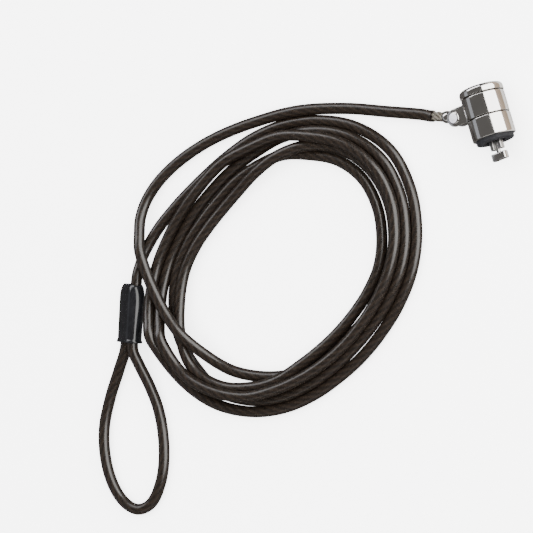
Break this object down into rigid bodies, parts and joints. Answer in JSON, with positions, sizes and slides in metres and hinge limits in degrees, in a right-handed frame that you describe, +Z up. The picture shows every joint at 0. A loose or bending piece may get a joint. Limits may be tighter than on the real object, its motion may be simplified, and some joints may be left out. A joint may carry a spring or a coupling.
{
  "type": "laptop cable lock",
  "caption": "Laptop security cable: a nickel tubular-key lock head with a T-bar turns in a swivel collar riveted to a coiled steel cable with a loop end.",
  "frame": {"origin": "on the surface, under the middle of the lock head from T-bar to key face and from ear to barrel side", "axes": "+Y along the head's turning axis towards the key face, -Y towards the T-bar, +Z up, the cable and its coil lie towards -X"},
  "size_m": [0.2143, 0.1378, 0.0173],
  "materials": {
    "polished_nickel": "polished nickel plate on die-cast zinc",
    "turned_steel": "turned steel",
    "turned_brass": "turned brass",
    "galvanised_wire": "drawn and stranded wire",
    "pressed_aluminium": "pressed",
    "black_rubber": "satin moulded rubber",
    "smoked_vinyl": "smoke-coloured clear vinyl over twisted steel rope",
    "gloss_black_plastic": "glossy"
  },
  "bodies": {
    "cable": {"cable_lead": "smoked_vinyl", "cable_coil": "smoked_vinyl", "cable_tail_and_eye": "smoked_vinyl", "loop_cover": "gloss_black_plastic", "loop_ferrule": "pressed_aluminium", "bare_wire": "galvanised_wire", "end_fitting": "polished_nickel"},
    "collar": {"swivel_collar": "polished_nickel", "rivet": "polished_nickel"},
    "housing": {"lower_barrel": "polished_nickel", "cap_ring": "polished_nickel", "lock_sleeve": "turned_steel", "pin_block": "turned_brass", "cross_pin": "turned_steel", "guide_block": "turned_steel", "face_pad": "black_rubber", "pin_spring_1": "galvanised_wire", "pin_spring_2": "galvanised_wire", "pin_spring_3": "galvanised_wire", "pin_spring_4": "galvanised_wire", "pin_spring_5": "galvanised_wire", "pin_spring_6": "galvanised_wire", "pin_spring_7": "galvanised_wire"},
    "plug": {"plug_rotor": "turned_steel", "spindle": "turned_steel", "t_bar": "polished_nickel"},
    "key_pin_1": {"key_pin_1": "turned_brass"},
    "driver_pin_1": {"driver_pin_1": "turned_steel"},
    "key_pin_2": {"key_pin_2": "turned_brass"},
    "driver_pin_2": {"driver_pin_2": "turned_steel"},
    "key_pin_3": {"key_pin_3": "turned_brass"},
    "driver_pin_3": {"driver_pin_3": "turned_steel"},
    "key_pin_4": {"key_pin_4": "turned_brass"},
    "driver_pin_4": {"driver_pin_4": "turned_steel"},
    "key_pin_5": {"key_pin_5": "turned_brass"},
    "driver_pin_5": {"driver_pin_5": "turned_steel"},
    "key_pin_6": {"key_pin_6": "turned_brass"},
    "driver_pin_6": {"driver_pin_6": "turned_steel"},
    "key_pin_7": {"key_pin_7": "turned_brass"},
    "driver_pin_7": {"driver_pin_7": "turned_steel"}
  },
  "joints": [
    {"name": "cable_pivot", "type": "hinge", "parent": "cable", "child": "collar", "pos_m": [-0.00885, 0.00695, 0.00538], "axis": [-0.2419, 0, 0.9703], "range_deg": [-100, 55]},
    {"name": "head_swivel", "type": "hinge", "parent": "collar", "child": "housing", "pos_m": [0.00425, 0, 0.00865], "axis": [0, 1, 0], "continuous": true},
    {"name": "plug_turn", "type": "hinge", "parent": "housing", "child": "plug", "pos_m": [0.00425, 0, 0.00865], "axis": [0, 1, 0], "range_deg": [0, 90]},
    {"name": "key_pin_1_press", "type": "slide", "parent": "plug", "child": "key_pin_1", "axis": [0, 1, 0], "range_m": [-0.0008, 0]},
    {"name": "driver_pin_1_press", "type": "slide", "parent": "housing", "child": "driver_pin_1", "axis": [0, 1, 0], "range_m": [-0.0008, 0]},
    {"name": "key_pin_2_press", "type": "slide", "parent": "plug", "child": "key_pin_2", "axis": [0, 1, 0], "range_m": [-0.0008, 0]},
    {"name": "driver_pin_2_press", "type": "slide", "parent": "housing", "child": "driver_pin_2", "axis": [0, 1, 0], "range_m": [-0.0008, 0]},
    {"name": "key_pin_3_press", "type": "slide", "parent": "plug", "child": "key_pin_3", "axis": [0, 1, 0], "range_m": [-0.0008, 0]},
    {"name": "driver_pin_3_press", "type": "slide", "parent": "housing", "child": "driver_pin_3", "axis": [0, 1, 0], "range_m": [-0.0008, 0]},
    {"name": "key_pin_4_press", "type": "slide", "parent": "plug", "child": "key_pin_4", "axis": [0, 1, 0], "range_m": [-0.0008, 0]},
    {"name": "driver_pin_4_press", "type": "slide", "parent": "housing", "child": "driver_pin_4", "axis": [0, 1, 0], "range_m": [-0.0008, 0]},
    {"name": "key_pin_5_press", "type": "slide", "parent": "plug", "child": "key_pin_5", "axis": [0, 1, 0], "range_m": [-0.0008, 0]},
    {"name": "driver_pin_5_press", "type": "slide", "parent": "housing", "child": "driver_pin_5", "axis": [0, 1, 0], "range_m": [-0.0008, 0]},
    {"name": "key_pin_6_press", "type": "slide", "parent": "plug", "child": "key_pin_6", "axis": [0, 1, 0], "range_m": [-0.0008, 0]},
    {"name": "driver_pin_6_press", "type": "slide", "parent": "housing", "child": "driver_pin_6", "axis": [0, 1, 0], "range_m": [-0.0008, 0]},
    {"name": "key_pin_7_press", "type": "slide", "parent": "plug", "child": "key_pin_7", "axis": [0, 1, 0], "range_m": [-0.0008, 0]},
    {"name": "driver_pin_7_press", "type": "slide", "parent": "housing", "child": "driver_pin_7", "axis": [0, 1, 0], "range_m": [-0.0008, 0]}
  ],
  "couplings": [
    {"joint": "driver_pin_1_press", "follows": "key_pin_1_press", "ratio": 1},
    {"joint": "driver_pin_2_press", "follows": "key_pin_2_press", "ratio": 1},
    {"joint": "driver_pin_3_press", "follows": "key_pin_3_press", "ratio": 1},
    {"joint": "driver_pin_4_press", "follows": "key_pin_4_press", "ratio": 1},
    {"joint": "driver_pin_5_press", "follows": "key_pin_5_press", "ratio": 1},
    {"joint": "driver_pin_6_press", "follows": "key_pin_6_press", "ratio": 1},
    {"joint": "driver_pin_7_press", "follows": "key_pin_7_press", "ratio": 1}
  ]
}
